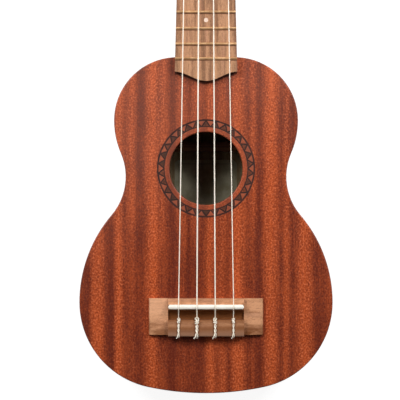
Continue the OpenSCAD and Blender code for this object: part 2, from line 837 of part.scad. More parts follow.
// A point of the bowed end, at share f of the way from the centre line to the corner
function bow_point(f) = [(head_width / 2 - head_corner) * f, head_length + head_bow * (1 - 0.6 * f * f)];
half_head = concat(
    [[0, 0], [head_root_width / 2, 0]],
    [for (i = [0 : 8])
        let (f = i / 8)
        [mix(head_root_width, head_shoulder_width, ease(f)) / 2, head_flare_from + head_flare_l * f]],
    bend([head_width / 2, head_length - head_corner], [head_width / 2, head_length], bow_point(1)),
    [for (i = [6 : -1 : 0]) bow_point(i / 6)]
);

module headstock() {
    color(mahogany) difference() {
        on_headstock() translate([0, 0, -head_t]) linear_extrude(head_t)
            polygon(concat(half_head, mirrored(half_head)));
        for (i = [0 : 3])
            at_post(i) {
                translate([0, 0, -bushing_l]) cylinder(r = bushing_r, h = bushing_l + cut);
                translate([0, 0, -head_t - cut]) cylinder(r = post_r + wood_gap, h = head_t + 2 * cut);
            }
        screw_shanks();
    }
}

// ---------------------------------------------------------------- tuners
// Each tuner is described at its post: x outwards, y up the headstock, z out of its face

wood_gap = 0.3;            // air between a post and the wood round it
flange_t = 1.2;
flange_r = bushing_r + 1.6;
teeth = 14;
flank = 20;                // slope of the tooth flanks, in degrees
gear_pitch_r = teeth * worm_pitch / (2 * PI);
gear_root_r = gear_pitch_r - tooth_top - tooth_play;
gear_tip_r = gear_pitch_r + tooth_top;
worm_tip_r = worm_pitch_r + tooth_top;
worm_core_r = worm_pitch_r - tooth_top - tooth_play;
worm_y = gear_pitch_r + worm_pitch_r;
plate_z = -head_t - plate_t;
worm_z = plate_z - worm_gap - worm_tip_r;
lead = atan(worm_pitch / (2 * PI * worm_pitch_r));
gear_low = worm_z - gear_t / 2;
gear_high = worm_z + gear_t / 2;
end_play = 0.3;            // air between the worm and each ear
ear_in = worm_l / 2 + end_play;
ear_out = ear_in + plate_t;
button_in = head_width / 2 - post_x + button_gap;
button_bore_l = button_l * 0.6;
screw_r = 1;
screw_l = 7;
screw_head_r = 1.9;
screw_head_t = 1.1;
tab_r = 3;
plate_low = gear_root_r + 1.5;
plate_high = worm_y + ear_r;
screw_ys = [-plate_low - tab_r, plate_high + tab_r];
// Half the thickness of thread or tooth at a height above its pitch line
function half_tooth(h) = worm_pitch / 4 - tooth_play / 2 - h * tan(flank);

module post_bushings() {
    color(nickel)
        for (i = [0 : 3])
            at_post(i) difference() {
                union() {
                    translate([0, 0, -bushing_l]) cylinder(r = bushing_r, h = bushing_l);
                    cylinder(r = flange_r, h = flange_t);
                }
                translate([0, 0, -bushing_l - cut])
                    cylinder(r = post_r + run_gap, h = bushing_l + flange_t + 2 * cut);
            }
}

module tuner_plate(i) {
    color(nickel) at_post(i) difference() {
        union() {
            translate([-ear_out, -plate_low, plate_z]) cube([2 * ear_out, plate_low + plate_high, plate_t]);
            for (y = screw_ys) {
                translate([0, y, plate_z]) cylinder(r = tab_r, h = plate_t);
                translate([-tab_r, min(y, plate_high - cut), plate_z])
                    cube([2 * tab_r, tab_r + cut, plate_t]);
            }
            for (x = [-ear_out, ear_in])
                translate([x, worm_y, worm_z]) {
                    rotate([0, 90, 0]) cylinder(r = ear_r, h = plate_t);
                    translate([0, -ear_r, 0]) cube([plate_t, 2 * ear_r, plate_z + plate_t / 2 - worm_z]);
                }
        }
        translate([-ear_out - cut, worm_y, worm_z]) rotate([0, 90, 0])
            cylinder(r = shaft_r + run_gap, h = 2 * ear_out + 2 * cut);
        translate([0, 0, plate_z - cut]) cylinder(r = post_r + run_gap, h = plate_t + 2 * cut);
        for (y = screw_ys)
            translate([0, y, plate_z - cut]) cylinder(r = screw_r, h = plate_t + 2 * cut);
    }
}

module screw_shanks() {
    for (i = [0 : 3])
        at_post(i) for (y = screw_ys)
            translate([0, y, plate_z]) cylinder(r = screw_r, h = screw_l, $fn = 24);
}

slot_w = 0.5;
cross_w = 2.4;
module plate_screws() {
    color(nickel) {
        screw_shanks();
        for (i = [0 : 3])
            at_post(i) for (y = screw_ys)
                translate([0, y, plate_z - screw_head_t]) difference() {
                    cylinder(r = screw_head_r, h = screw_head_t, $fn = 24);
                    for (turn = [0, 90])
                        rotate([0, 0, turn]) translate([-cross_w / 2, -slot_w / 2, -cut])
                            cube([cross_w, slot_w, cut + screw_head_t / 2]);
                }
    }
}

thread_base_r = worm_core_r - 0.12;
thread_half = half_tooth(thread_base_r - worm_pitch_r);
thread_turn = 360 * (worm_l / 2 - thread_half) / worm_pitch;
thread_steps = 80;

// The worm's thread, wound round the X axis with a gap facing the gear at rest
module thread() {
    skin([for (i = [0 : thread_steps])
        let (a = mix(-thread_turn, thread_turn, i / thread_steps), x = worm_pitch * a / 360)
        [for (corner = [[-1, thread_base_r], [1, thread_base_r], [1, worm_tip_r], [-1, worm_tip_r]])
            let (r = corner.y)
            [x + corner.x * half_tooth(r - worm_pitch_r), r * cos(a), r * sin(a)]]]);
}

rivet_r = 1.9;
rivet_t = 0.6;
module worm_shaft(i) {
    inner_end = ear_out + end_play;
    color(nickel) at_post(i) translate([0, worm_y, worm_z]) {
        thread();
        rotate([0, 90, 0]) {
            translate([0, 0, -worm_l / 2]) cylinder(r = worm_core_r, h = worm_l);
            translate([0, 0, -inner_end]) cylinder(r = shaft_r, h = inner_end + button_in + button_bore_l);
            translate([0, 0, -inner_end - rivet_t]) cylinder(r = rivet_r, h = rivet_t);
        }
    }
}

collar_r = 2.4;
collar_l = 1.2;
module button(i) {
    ball_r = button_t / 2;
    inner_ball = [ball_r + collar_l / 2, button_w / 4];
    outer_ball = [button_l - ball_r, button_w / 2 - ball_r];
    color("ivory") at_post(i) translate([button_in, worm_y, worm_z]) difference() {
        union() {
            hull()
                for (ball = [inner_ball, outer_ball], side = [-1, 1])
                    translate([ball.x, side * ball.y, 0]) sphere(r = ball_r, $fn = 20);
            rotate([0, 90, 0]) cylinder(r = collar_r, h = collar_l + ball_r);
        }
        translate([-cut, 0, 0]) rotate([0, 90, 0]) cylinder(r = shaft_r, h = button_bore_l + cut);
    }
}

module gear(i) {
    color(brass) at_post(i) translate([0, 0, worm_z]) difference() {
        intersection() {
            cylinder(r = gear_tip_r, h = gear_t, center = true);
            union() {
                cylinder(r = gear_root_r, h = gear_t + cut, center = true);
                for (tooth = [0 : teeth - 1])
                    rotate([0, 0, tooth * 360 / teeth]) rotate([0, -lead, 0])
                        linear_extrude(2 * gear_t, center = true) polygon([
                            for (side = [-1, 1], h = side < 0 ? [cut, -cut] : [-cut, cut])
                                [side * half_tooth(h), gear_pitch_r + h]
                        ]);
            }
        }
        cylinder(r = spigot_r, h = gear_t + 2 * cut, center = true);
    }
}

gear_screw_r = 1;
gear_screw_l = 6;
gear_screw_head_r = 2.6;
gear_screw_head_t = 1.3;
module gear_screw(i) {
    color(nickel) at_post(i) {
        translate([0, 0, gear_low]) cylinder(r = gear_screw_r, h = gear_screw_l);
        translate([0, 0, gear_low - gear_screw_head_t]) difference() {
            cylinder(r = gear_screw_head_r, h = gear_screw_head_t);
            translate([-gear_screw_head_r, -slot_w / 2, -cut])
                cube([2 * gear_screw_head_r, slot_w, cut + gear_screw_head_t / 2]);
        }
    }
}

post_hole_r = 0.8;
module post(i) {
    color(nickel) at_post(i) difference() {
        union() {
            translate([0, 0, gear_high]) cylinder(r = post_r, h = post_h - gear_high);
            translate([0, 0, gear_low]) cylinder(r = spigot_r, h = gear_t);
        }
        translate([0, 0, gear_low]) cylinder(r = gear_screw_r, h = gear_screw_l);
        translate([-post_r - cut, 0, post_hole_h]) rotate([0, 90, 0])
            cylinder(r = post_hole_r, h = 2 * (post_r + cut), $fn = 24);
    }
}

// ---------------------------------------------------------------- strings

turn_steps = 18;           // pieces in one turn of string
function wrap_pitch(d) = d + 0.06;
// Heights of a string's centre: where its turns on the post start, and where its still turn arrives
function moving_from(d) = post_hole_h - string_turns * wrap_pitch(d);
function arrival(d) = moving_from(d) - d - wrap_gap - wrap_pitch(d);

// A turn round a post at its inner side first, seen from the face clockwise on the outward-right side
function wrap_point(r, turned, z) = [-r * cos(turned), r * sin(turned), z];

module winding(i) {
    d = string_ds[i];
    r = post_r + d / 2 + touch;
    steps = round(string_turns * turn_steps);
    last = 360 * string_turns;
    color(nylon) at_post(i) tube(concat(
        [for (k = [0 : steps - 1])
            let (f = k / steps)
            wrap_point(r, f * last, mix(moving_from(d), post_hole_h, f))],
        [wrap_point(r - d / 4, last - 4, post_hole_h), [r - d, 0, post_hole_h], [-r - 2, 0, post_hole_h]]
    ), d);
}

// Where a string bends, in the bridge's frame: y from the saddle's centre line, z from the soundboard
function in_bridge(i, points) = [for (p = points) [saddle_x(i) + p.x, saddle_y + p.y, body_depth + p.z]];

ball_turns = 1.75;         // turns of a string's end round itself at the tie block's front
twist_turns = 1.25;        // turns of the two strands round each other behind them
knot_steps = 8;            // pieces in one turn

function knot_route(i) =
    let (d = string_ds[i],
         hand = hands[i],
         apart = (d + touch) / cos(180 / knot_steps),
         lying = tie_block_h + d / 2 + touch,
         raised = lying + apart,
         front = -tie_block_at,
         beside = front + d / 2 + 0.2,
         leaving = string_hole_h + 0.5,
         behind_saddle = saddle_top - body_depth - saddle_crown + d / 2 + 2 * touch,
         rise = atan2(behind_saddle - leaving, -saddle_t / 2 - beside),
         ball_from = front - 0.5,
         ball_l = 0.1 + 1.85 * apart,
         half_twist = 0.58 * d,
         twist_axis = lying + half_twist,
         twist_from = ball_from - ball_l - 0.4,
         twist_l = tie_block_l - ball_l - 2.4,
         twist_end = twist_from - twist_l,
         ball_steps = ball_turns * knot_steps,
         twist_steps = twist_turns * knot_steps)
    in_bridge(i, concat(
        [for (k = [2 : -1 : -2])
            let (y = saddle_t / 2 * k / 2)
            [0, y, saddle_top - body_depth - saddle_drop(y) + d / 2 + 2 * touch]],
        [[0, beside, leaving], [0, front - 1, string_hole_h]],
        [[0, -tie_back - d, string_hole_h]],
        [[0, -tie_back - 1.2 * d, string_hole_h + 1],
         [0.2 * half_twist, -tie_back - 0.8 * d, tie_block_h - 0.4],
         [0.8 * half_twist, -tie_back + 0.2, lying + 0.1]],
        // forward along the block, twisted with the end that comes back
        [for (k = [twist_steps : -1 : 0])
            let (f = k / twist_steps, a = 90 + 360 * twist_turns * f)
            [-half_twist * cos(a), twist_from - twist_l * f, twist_axis + half_twist * sin(a)]],
        [[0, ball_from - ball_l, raised], [0, front - 0.4, raised],
         [hand * apart * 0.6, front + 0.5, raised - 0.5]],
        // down the block's front, round the string that leaves the hole and up again
        [[hand * apart, beside, tie_block_h - 1.2]],
        [for (a = [0 : 45 : 180])
            [hand * apart * cos(a), beside + apart * sin(a) * sin(rise),
             leaving - apart * sin(a) * cos(rise)]],
        [[-hand * apart, beside, tie_block_h - 0.8]],
        // round the strand on the block, then back along it
        [for (k = [0 : ball_steps])
            let (f = k / ball_steps, a = 360 * ball_turns * f)
            [-hand * apart * cos(a), ball_from - ball_l * f, raised + apart * sin(a)]],
        [for (k = [1 : twist_steps])
            let (f = k / twist_steps, a = 90 + 360 * twist_turns * f)
            [half_twist * cos(a), twist_from - twist_l * f, twist_axis - half_twist * sin(a)]],
        [[-half_twist - 0.3 * d, twist_end - 1, twist_axis + 0.1],
         [-half_twist - 0.8 * d, twist_end - 2, twist_axis - 0.2],
         [-half_twist - 1.5 * d, twist_end - 2.8, twist_axis - 0.7]]
    ));

module string(i) {
    d = string_ds[i];
    r = post_r + d / 2 + wrap_gap;
    level = arrival(d);
    turn = [for (k = [0 : turn_steps])
        let (p = wrap_point(r, 360 * k / turn_steps, level + wrap_pitch(d) * k / turn_steps))
        on_face([hands[i] * (post_x + p.x), post_places[i] + p.y, p.z])];
    over_nut = nut_line + d / 2 + touch;
    behind_nut = nut_t - slot_level + slot_play;
    at_nut = [
        [nut_x(i), nut_back_y + slot_play, over_nut - behind_nut * tan(slot_fall - 2)],
        [nut_x(i), nut_y + slot_level, over_nut],
        [nut_x(i), nut_y, over_nut]
    ];
    color(nylon) tube(concat(reversed(turn), at_nut, knot_route(i)), d);
}

// ---------------------------------------------------------------- what is drawn

soundboard();
back();
side(-1);  // side_left
side(1);  // side_right
linings(inner_top - lining_h);  // top_linings
linings(back_t);  // back_linings
neck_block();
tail_block();
upper_top_brace();
lower_top_brace();
fan_braces();
bridge_patch();
back_braces();
label();
bridge();
saddle();
neck();
heel_dowels();
headstock();
fretboard();
frets();
position_dots();
side_dots();
nut();
post_bushings();
plate_screws();
for (i = [0 : 3]) {
    string(i);
    tuner_plate(i);
    worm_shaft(i);
    button(i);
    gear(i);
    gear_screw(i);
    post(i);
    winding(i);
}
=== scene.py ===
import math

import bmesh
import bpy
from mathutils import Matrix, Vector


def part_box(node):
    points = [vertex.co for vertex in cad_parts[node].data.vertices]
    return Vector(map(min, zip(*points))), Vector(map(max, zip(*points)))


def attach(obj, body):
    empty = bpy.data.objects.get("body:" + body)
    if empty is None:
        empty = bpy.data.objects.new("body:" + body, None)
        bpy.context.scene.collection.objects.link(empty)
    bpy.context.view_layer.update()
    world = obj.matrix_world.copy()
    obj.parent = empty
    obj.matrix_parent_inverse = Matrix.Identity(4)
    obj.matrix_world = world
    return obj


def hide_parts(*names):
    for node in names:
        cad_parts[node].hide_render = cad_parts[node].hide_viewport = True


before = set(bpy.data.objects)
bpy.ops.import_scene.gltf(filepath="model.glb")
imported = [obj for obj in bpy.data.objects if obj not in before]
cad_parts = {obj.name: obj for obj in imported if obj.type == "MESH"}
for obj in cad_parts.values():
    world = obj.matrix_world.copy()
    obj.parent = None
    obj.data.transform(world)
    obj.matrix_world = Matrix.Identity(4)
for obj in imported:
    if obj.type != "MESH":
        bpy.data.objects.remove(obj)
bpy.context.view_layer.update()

MM = 0.001
QUARTER = math.pi / 2

# ---------------------------------------------------------------- places

board_low, board_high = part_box("fretboard")
label_low, label_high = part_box("label")
bridge_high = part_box("bridge")[1]
back_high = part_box("back")[1]
nut_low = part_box("nut")[0]

TOP_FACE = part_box("soundboard")[1].z
SOUNDHOLE_Y = 39.8 * MM


def in_mm(metres):
    """The finishes below are laid out in millimetres."""
    return metres / MM


# ------------------------------------------------------------ bench work

SHARP_EDGE = math.radians(30)
SMOOTH_UP_TO = math.radians(32)


def set_down():
    """Leaves edit mode with nothing selected."""
    if bpy.context.object and bpy.context.object.mode != "OBJECT":
        bpy.ops.object.mode_set(mode="OBJECT")
    bpy.ops.object.select_all(action="DESELECT")


def take_up(piece):
    """Makes the piece the only one selected."""
    set_down()
    piece.select_set(True)
    bpy.context.view_layer.objects.active = piece


def pick_edges(piece, chosen):
    """Enters edit mode and selects the piece's sharp edges whose middle passes the test."""
    take_up(piece)
    bpy.ops.object.mode_set(mode="EDIT")
    bpy.ops.mesh.select_mode(type="EDGE")
    bpy.ops.mesh.select_all(action="DESELECT")
    shape = bmesh.from_edit_mesh(piece.data)
    for edge in shape.edges:
        if len(edge.link_faces) != 2 or edge.calc_face_angle() < SHARP_EDGE:
            continue
        if chosen((edge.verts[0].co + edge.verts[1].co) / 2):
            edge.select_set(True)
    bmesh.update_edit_mesh(piece.data)


def whole_copy(node, name):
    """A merged copy of a solid, to be worked on in its place."""
    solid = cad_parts[node]
    piece = bpy.data.objects.new(name, solid.data.copy())
    bpy.context.scene.collection.objects.link(piece)
    take_up(piece)
    bpy.ops.object.mode_set(mode="EDIT")
    bpy.ops.mesh.select_all(action="SELECT")
    bpy.ops.mesh.remove_doubles(threshold=0.002 * MM)
    bpy.ops.mesh.dissolve_limited(angle_limit=math.radians(0.4))
    bpy.ops.object.mode_set(mode="OBJECT")
    return piece


def eased(node, name, width, steps=2, chosen=lambda middle: True):
    """A copy of a solid of the body with its chosen edges rounded, standing for that solid."""
    piece = whole_copy(node, name)
    pick_edges(piece, chosen)
    bpy.ops.mesh.bevel(offset=width, segments=steps, profile=0.5, clamp_overlap=True)
    set_down()
    take_up(piece)
    bpy.ops.object.shade_smooth_by_angle(angle=SMOOTH_UP_TO)
    flat = piece.modifiers.new("flat_faces", "WEIGHTED_NORMAL")
    flat.keep_sharp = True
    bpy.ops.object.modifier_apply(modifier=flat.name)
    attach(piece, "ukulele")
    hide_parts(node)
    return piece


# --------------------------------------------------------- laying nodes

# a Mix node's sockets for two colours and their mixture
FIRST_COLOUR, SECOND_COLOUR, MIXED_COLOUR = 6, 7, 2


class Bench:
    """Lays out the nodes of one tree."""

    def __init__(self, tree):
        self.tree = tree

    def node(self, kind, **settings):
        made = self.tree.nodes.new(kind)
        for name, value in settings.items():
            setattr(made, name, value)
        return made

    def feed(self, socket, value):
        """Links a socket to another's output, or sets its own value."""
        if isinstance(value, bpy.types.NodeSocket):
            self.tree.links.new(value, socket)
        elif value is not None:
            socket.default_value = value

    def maths(self, operation, *values, clamp=False):
        made = self.node("ShaderNodeMath", operation=operation, use_clamp=clamp)
        for socket, value in zip(made.inputs, values):
            self.feed(socket, value)
        return made.outputs[0]

    def vector(self, operation, *values, out=0):
        made = self.node("ShaderNodeVectorMath", operation=operation)
        for socket, value in zip(made.inputs, values):
            self.feed(socket, value)
        return made.outputs[out]

    def mix(self, share, first, second):
        """The first colour with the given share of the second in it."""
        made = self.node("ShaderNodeMix", data_type="RGBA")
        self.feed(made.inputs[0], share)
        self.feed(made.inputs[FIRST_COLOUR], first)
        self.feed(made.inputs[SECOND_COLOUR], second)
        return made.outputs[MIXED_COLOUR]

    def noise(self, place, per_mm, detail=2, rough=0.5):
        """Noise that changes so many times in a millimetre along each axis."""
        made = self.node("ShaderNodeTexNoise")
        self.feed(made.inputs["Vector"], self.vector("MULTIPLY", place, per_mm))
        made.inputs["Scale"].default_value = 1.0
        made.inputs["Detail"].default_value = detail
        made.inputs["Roughness"].default_value = rough
        return made.outputs["Fac"]

    def spread(self, value, low, high, to_low=0.0, to_high=1.0, smooth=True):
        """Carries low..high over to to_low..to_high."""
        made = self.node("ShaderNodeMapRange")
        made.interpolation_type = "SMOOTHSTEP" if smooth else "LINEAR"
        for socket, number in zip(made.inputs, (value, low, high, to_low, to_high)):
            self.feed(socket, number)
        return made.outputs[0]

    def parts(self, vector):
        made = self.node("ShaderNodeSeparateXYZ")
        self.feed(made.inputs[0], vector)
        return made.outputs

    def joined(self, x=0.0, y=0.0, z=0.0):
        made = self.node("ShaderNodeCombineXYZ")
        for socket, value in zip(made.inputs, (x, y, z)):
            self.feed(socket, value)
        return made.outputs[0]

    def place(self, centre=(0, 0, 0), turn=(0, 0, 0)):
        """Object coordinates in millimetres from a centre, turned to follow a piece."""
        made = self.node("ShaderNodeMapping", vector_type="POINT")
        self.feed(made.inputs["Vector"], self.node("ShaderNodeTexCoord").outputs["Object"])
        made.inputs["Scale"].default_value = (in_mm(1),) * 3
        made.inputs["Rotation"].default_value = turn
        made.inputs["Location"].default_value = [-in_mm(c) for c in centre]
        return made.outputs[0]

    def effect(self, group, **values):
        """Places a shared effect and gives it this material's values."""
        made = self.node("ShaderNodeGroup", node_tree=group)
        for name, value in values.items():
            self.feed(made.inputs[name], value)
        return made.outputs

    def bump(self, height, strength, depth):
        made = self.node("ShaderNodeBump")
        made.inputs["Strength"].default_value = strength
        made.inputs["Distance"].default_value = depth
        self.feed(made.inputs["Height"], height)
        return made.outputs[0]


SOCKETS = {float: "NodeSocketFloat", tuple: "NodeSocketColor", None: "NodeSocketVector"}


def shared_effect(name, takes, gives):
    """An empty group with named inputs and outputs, and the benches to fill it."""
    tree = bpy.data.node_groups.new(name, "ShaderNodeTree")
    for label, value in takes.items():
        kind = SOCKETS[None if value is None else type(value)]
        socket = tree.interface.new_socket(name=label, in_out="INPUT", socket_type=kind)
        if value is not None:
            socket.default_value = value
    for label, kind in gives.items():
        tree.interface.new_socket(name=label, in_out="OUTPUT", socket_type=SOCKETS[kind])
    bench = Bench(tree)
    start = bench.node("NodeGroupInput").outputs
    end = bench.node("NodeGroupOutput").inputs
    return tree, bench, start, end


def colour(red, green, blue):
    """A display colour, 0 to 255, as the shader wants it."""
    def straight(part):
        part /= 255
        return part / 12.92 if part <= 0.04045 else ((part + 0.055) / 1.055) ** 2.4
    return (straight(red), straight(green), straight(blue), 1.0)


# -------------------------------------------------------- shared effects

def wood_figure():
    """Streaks along Y, a soft mottle and open pores, in millimetres."""
    tree, bench, start, end = shared_effect(
        "Wood figure",
        {"Place": None, "Stripe": 0.5, "Pale": (1, 1, 1, 1), "Deep": (0, 0, 0, 1),
         "Pore": (0, 0, 0, 1), "Streaks": 0.6, "Mottle": 0.4, "Pores": 0.6},
        {"Color": tuple, "Roughness": float, "Height": float})

    def grain(across, along, detail, rough=0.55):
        return bench.noise(start["Place"], (across, along, across), detail, rough)

    def centred(value):
        return bench.maths("SUBTRACT", value, 0.5)

    fibres = grain(1.5, 0.035, 3)
    bands = grain(0.30, 0.007, 2)
    flecks = grain(0.9, 0.45, 2, 0.65)
    specks = grain(1.9, 0.8, 1)
    shimmer = grain(0.10, 0.035, 1)
    lines = bench.maths("ADD", centred(fibres), centred(bands))
    clouds = bench.maths("MULTIPLY_ADD", centred(flecks), 1.6, centred(shimmer))
    clouds = bench.maths("MULTIPLY_ADD", centred(specks), 1.7, clouds)
    tone = bench.maths("MULTIPLY_ADD", lines, start["Streaks"], start["Stripe"])
    tone = bench.maths("MULTIPLY_ADD", clouds, start["Mottle"], tone, clamp=True)
    pore = bench.maths("MULTIPLY", bench.spread(grain(4.2, 0.22, 1), 0.60, 0.70), start["Pores"])
    bench.feed(end["Color"], bench.mix(
        pore, bench.mix(tone, start["Deep"], start["Pale"]), start["Pore"]))
    bench.feed(end["Roughness"], bench.maths(
        "MULTIPLY_ADD", pore, 0.25, bench.spread(fibres, 0.3, 0.7, 0.30, 0.42)))
    bench.feed(end["Height"], bench.maths(
        "SUBTRACT", bench.maths("MULTIPLY", fibres, 0.25), pore))
    return tree


def handling():
    """Faint smears and hairline scratches that vary the shine."""
    tree, bench, start, end = shared_effect(
        "Handling", {"Place": None, "Shine": 0.2, "Wear": 0.3},
        {"Roughness": float, "Height": float})
    smear = bench.noise(start["Place"], (0.09, 0.09, 0.09), 4, 0.6)
    hairs = bench.noise(start["Place"], (0.35, 6.0, 2.2))
    dust = bench.noise(start["Place"], (2.6, 2.6, 2.6))
    change = bench.maths("ADD", bench.spread(smear, 0.35, 0.7, -0.4, 0.6),
                         bench.spread(dust, 0.55, 0.75, 0.0, 0.6))
    change = bench.maths("ADD", change, bench.spread(hairs, 0.6, 0.75, 0.0, 0.5))
    change = bench.maths("MULTIPLY", change, start["Wear"])
    bench.feed(end["Roughness"], bench.maths("ADD", start["Shine"], change, clamp=True))
    bench.feed(end["Height"], bench.maths("MULTIPLY", hairs, 0.4))
    return tree


WOOD = wood_figure()
HANDLING = handling()


# -------------------------------------------------------------- finishes

def finish(name, **settings):
    """A new material with one Principled shader; returns it with its bench and the shader."""
    made = bpy.data.materials.new(name)
    made.use_nodes = True
    made.node_tree.nodes.clear()
    bench = Bench(made.node_tree)
    shader = bench.node("ShaderNodeBsdfPrincipled")
    output = bench.node("ShaderNodeOutputMaterial")
    bench.feed(output.inputs["Surface"], shader.outputs[0])
    for label, value in settings.items():
        shader.inputs[label.replace("_", " ")].default_value = value
    return made, bench, shader


# How light a ribbon of the top is, from 0 to 1
BRIGHT, SOFT, FAINT, DARK = 0.72, 0.5, 0.25, 0.05
# How broad a ribbon is: two neighbours share the gap between them in this proportion
BROAD, NARROW = 6, 3
RUN_TOGETHER = 16           # ribbons nearer than this, in millimetres, melt into each other
# The pale ribbons: millimetres from the middle, how broad, how light by the neck and by the tail
PALE_RIBBONS = (
    (-78, BROAD, DARK, BRIGHT), (-62, NARROW, BRIGHT, BRIGHT), (-52, NARROW, SOFT, FAINT),
    (-37, BROAD, BRIGHT, BRIGHT), (-31, NARROW, SOFT, FAINT), (-17, NARROW, SOFT, FAINT),
    (-8, NARROW, SOFT, DARK), (3, NARROW, BRIGHT, BRIGHT), (12, NARROW, SOFT, SOFT),
    (23, BROAD, BRIGHT, BRIGHT), (33, NARROW, SOFT, FAINT), (46, BROAD, BRIGHT, BRIGHT),
    (57, NARROW, SOFT, SOFT), (70, BROAD, BRIGHT, BRIGHT), (88, BROAD, SOFT, FAINT))
RIBBONS_HALF_WIDTH = 90

MAHOGANY_PALE = colour(196, 88, 41)
MAHOGANY_DEEP = colour(97, 35, 19)
MAHOGANY_PORE = colour(60, 20, 13)


def ribbon(bench, value, low, high, stripes):
    """The lightness of listed stripes, as the value runs from low to high."""
    ramp = bench.node("ShaderNodeValToRGB")
    ramp.color_ramp.interpolation = "EASE"
    bench.feed(ramp.inputs[0], bench.spread(value, low, high, smooth=False))
    steps = ramp.color_ramp.elements
    while len(steps) < len(stripes):
        steps.new(0.5)
    for step, (at, light) in zip(steps, stripes):
        step.position = (at - low) / (high - low)
        step.color = (light, light, light, 1)
    return ramp.outputs[0]


def figure(listed):
    """The stripes of the listed ribbons: pale at each, and dark where the breadths of two meet."""
    first, first_width, _ = listed[0]
    stripes = [(first - first_width, DARK)]
    for (here, width, light), (there, next_width, next_light) in zip(listed, listed[1:]):
        gap = there - here
        melted = (light + next_light) / 2 * (1 - gap / RUN_TOGETHER)
        stripes += [(here, light), (here + gap * width / (width + next_width), max(DARK, melted))]
    last, _, last_light = listed[-1]
    return stripes + [(last, last_light)]


def ribbons(bench, across, wander, stripes):
    """Long stripes across a board whose edges wander a little along the grain."""
    shifted = bench.maths("MULTIPLY_ADD", bench.maths("SUBTRACT", wander, 0.5), 4.0, across)
    return ribbon(bench, shifted, -RIBBONS_HALF_WIDTH, RIBBONS_HALF_WIDTH, stripes)


def relief(bench, shader, height, strength=0.25, depth=0.04 * MM):
    """Lets a height show in the shader's surface."""
    bench.feed(shader.inputs["Normal"], bench.bump(height, strength, depth))


ROSETTE_TEETH = 30
ROSETTE_IN, ROSETTE_OUT = 29.4, 33.7
BELL_LENGTH = 6.5


def flecked(bench, place, stripe, wood):
    """The wood's colour with fine flecks, which show most on the pale ribbons."""
    fleck = bench.noise(place, (0.85, 0.75, 0.0), 1)
    lively = bench.spread(stripe, 0.05, 0.6, 0.2, 1.0)
    glint = bench.spread(fleck, 0.5, 0.8, 0.0, 0.6, smooth=False)
    shade = bench.spread(fleck, 0.52, 0.22, 0.0, 0.6, smooth=False)
    tint = bench.mix(bench.maths("MULTIPLY", lively, glint), wood["Color"],
                     colour(236, 128, 84))
    return bench.mix(bench.maths("MULTIPLY", lively, shade), tint, colour(86, 14, 8))


def rosette(bench, place, lacquer):
    """The burnt ring of triangles round the soundhole; returns its colour and its lines."""
    def near(value, centre, no_more, full):
        """1 within full of the centre, falling to 0 at no_more."""
        return bench.spread(bench.maths("ABSOLUTE", bench.maths("SUBTRACT", value, centre)),
                            no_more, full)

    u, v, _ = bench.parts(bench.place(centre=(0, SOUNDHOLE_Y, 0)))
    far = bench.vector("LENGTH", bench.joined(u, v), out=1)
    turn = bench.maths("MULTIPLY", bench.maths("ARCTAN2", u, v), ROSETTE_TEETH / math.pi)
    tooth = bench.maths("SUBTRACT", 1.0, bench.maths("PINGPONG", turn, 1.0))
    height = bench.spread(far, ROSETTE_IN, ROSETTE_OUT, smooth=False)
    gap = bench.maths("SUBTRACT", height, tooth)
    band = bench.maths("MULTIPLY", bench.spread(far, ROSETTE_IN - 0.15, ROSETTE_IN + 0.1),
                       bench.spread(far, ROSETTE_OUT + 0.5, ROSETTE_OUT + 0.2))
    zigzag = bench.maths("MULTIPLY", band, near(gap, 0.0, 0.27, 0.1))
    outline = near(far, ROSETTE_OUT + 0.4, 0.85, 0.4)
    inner_line = bench.maths("MULTIPLY", near(far, ROSETTE_IN + 0.2, 0.6, 0.25), 0.85)
    lines = bench.maths("MAXIMUM", bench.maths("MAXIMUM", zigzag, outline), inner_line)
    teeth = bench.maths("MULTIPLY", band, bench.spread(gap, 0.05, -0.05))
    gaps = bench.maths("MULTIPLY", band, bench.spread(gap, -0.05, 0.05))
    burnt = bench.noise(place, (0.25, 0.25, 0.25))
    plain = bench.spread(far, ROSETTE_IN + 0.2, ROSETTE_IN - 0.2)
    tint = bench.mix(bench.maths("MULTIPLY", plain, 0.35), lacquer, colour(144, 74, 52))
    tint = bench.mix(bench.maths("MULTIPLY", gaps, 0.6), tint, colour(146, 80, 58))
    tint = bench.mix(bench.maths("MULTIPLY", teeth, bench.spread(burnt, 0.35, 0.65, 0.6, 0.95)),
                     tint, colour(64, 42, 32))
    tint = bench.mix(bench.maths("MULTIPLY", lines, bench.spread(burnt, 0.3, 0.7, 1.0, 0.85)),
                     tint, colour(26, 9, 6))
    return tint, lines


def painted_bell_shadow(bench, x, y):
    """Painted shadow: where the top is painted dark just past the fretboard's bell-shaped end."""
    from_middle = bench.maths("ABSOLUTE", x)
    half, tip = in_mm(board_high.x), in_mm(board_low.y)
    bell = bench.spread(from_middle, 0.0, half, tip, tip + BELL_LENGTH)
    past = bench.maths("SUBTRACT", bell, y)
    bell_shadow = bench.maths("MULTIPLY", bench.spread(past, 1.9, 1.3), bench.spread(past, -0.6, -0.2))
    return bench.maths("MULTIPLY", bell_shadow, bench.spread(
        from_middle, half + 0.1, half - 0.3, 0.0, 0.7))


